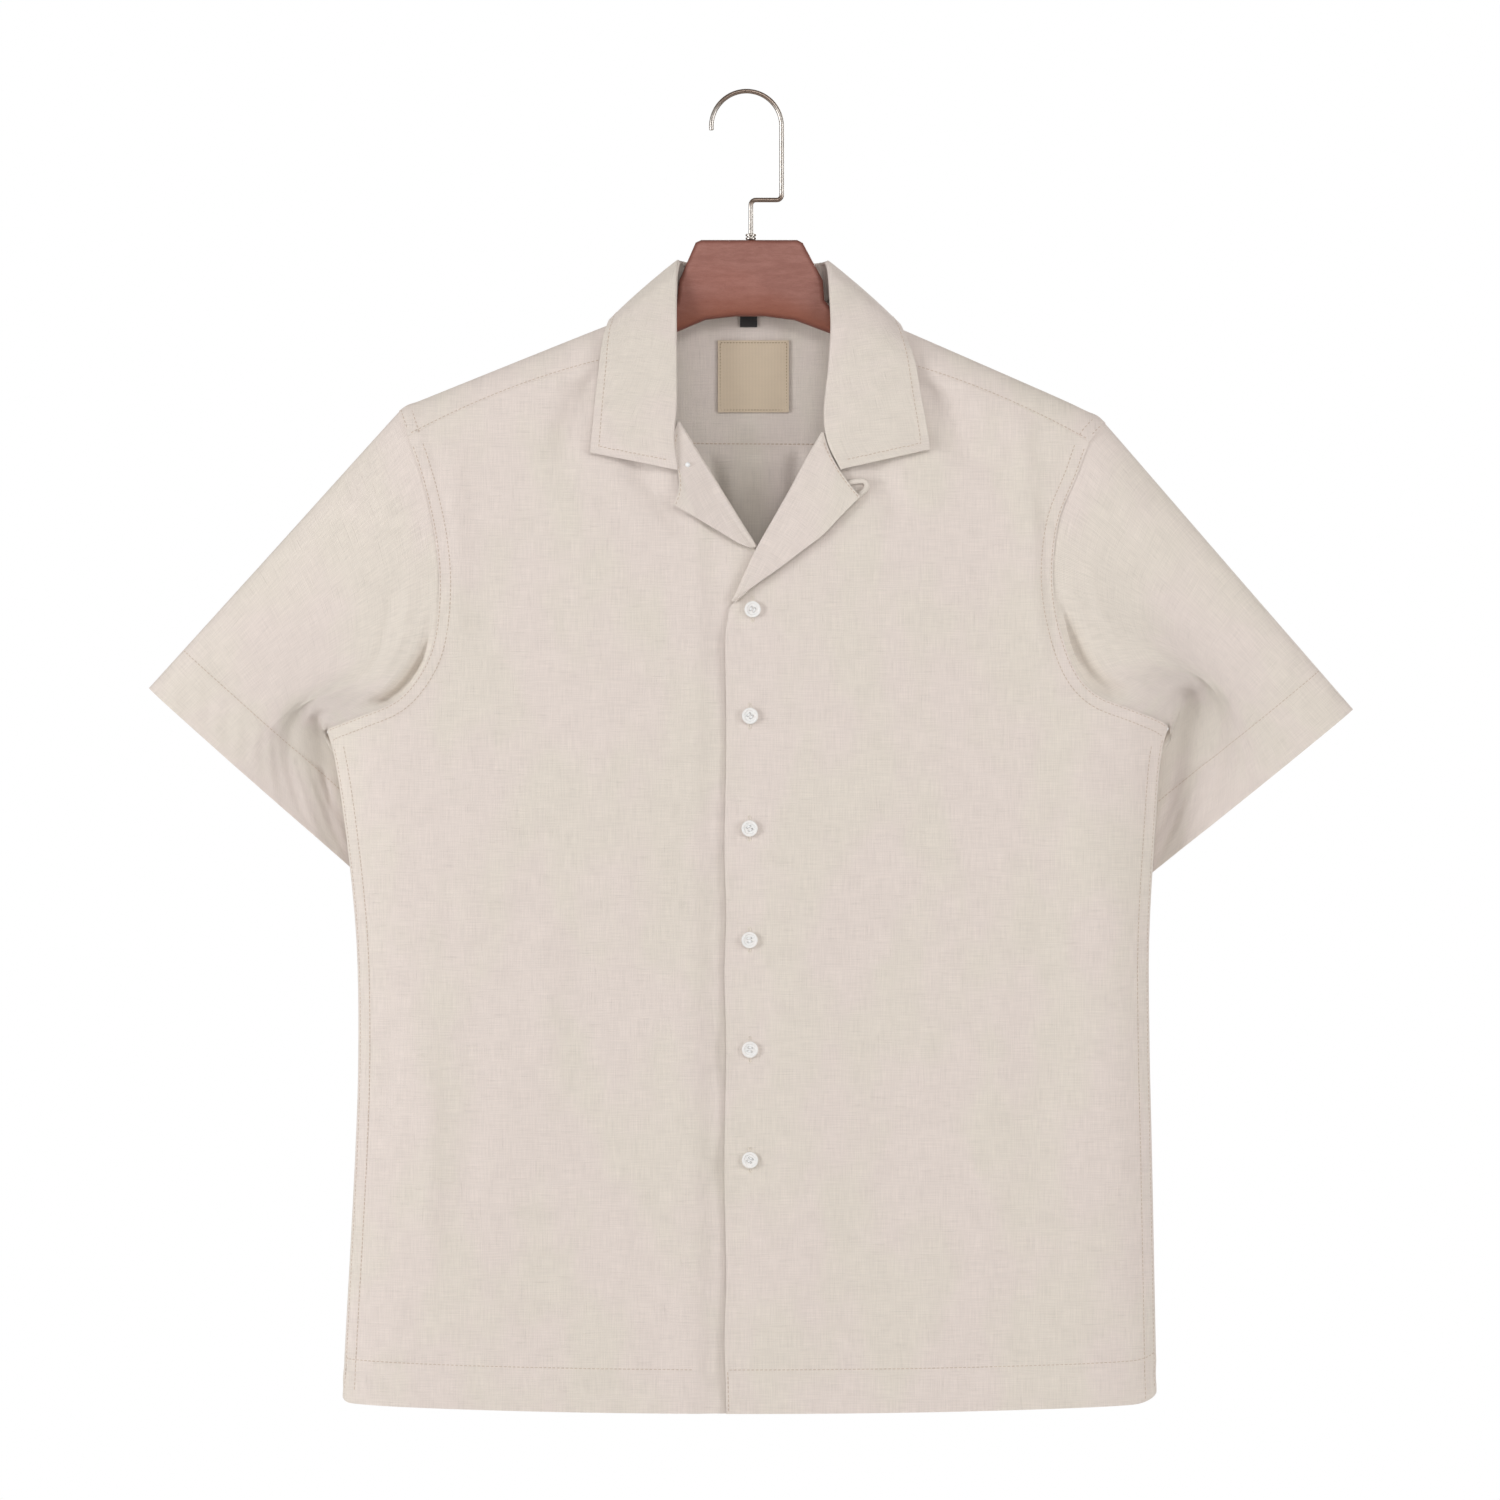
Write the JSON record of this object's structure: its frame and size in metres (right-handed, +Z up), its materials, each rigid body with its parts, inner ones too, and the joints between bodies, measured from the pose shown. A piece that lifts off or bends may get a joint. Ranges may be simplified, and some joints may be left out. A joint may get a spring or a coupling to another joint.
{
  "type": "camp shirt on a hanger",
  "caption": "Short-sleeved linen camp shirt with an open, notched collar, hanging flat and buttoned on a plain wooden hanger with a wire hook.",
  "frame": {"origin": "the point inside the top of the hanger's hook where a rail touches it", "axes": "+Z up, the front of the shirt faces -Y, +X towards the wearer's left sleeve"},
  "size_m": [0.8428, 0.0582, 0.9255],
  "materials": {
    "linen": "matt plain-weave linen",
    "label_cloth": "satin woven patch, bare",
    "tag_cloth": "woven tape, bare",
    "pearl": "polished, faintly pearly",
    "stained_wood": "satin lacquer over red-brown stain",
    "polished_metal": "polished"
  },
  "bodies": {
    "root": {"back": "linen", "front_right": "linen", "front_left": "linen", "yoke": "linen", "sleeve_right": "linen", "sleeve_left": "linen", "lapel_right": "linen", "lapel_left": "linen", "collar": "linen", "button_loop": "linen", "neck_label": "label_cloth", "size_tag": "tag_cloth", "button_1": "pearl", "button_2": "pearl", "button_3": "pearl", "button_4": "pearl", "button_5": "pearl", "button_6": "pearl", "hanger_body": "stained_wood", "hanger_ferrule": "polished_metal", "hanger_hook": "polished_metal"}
  },
  "joints": []
}
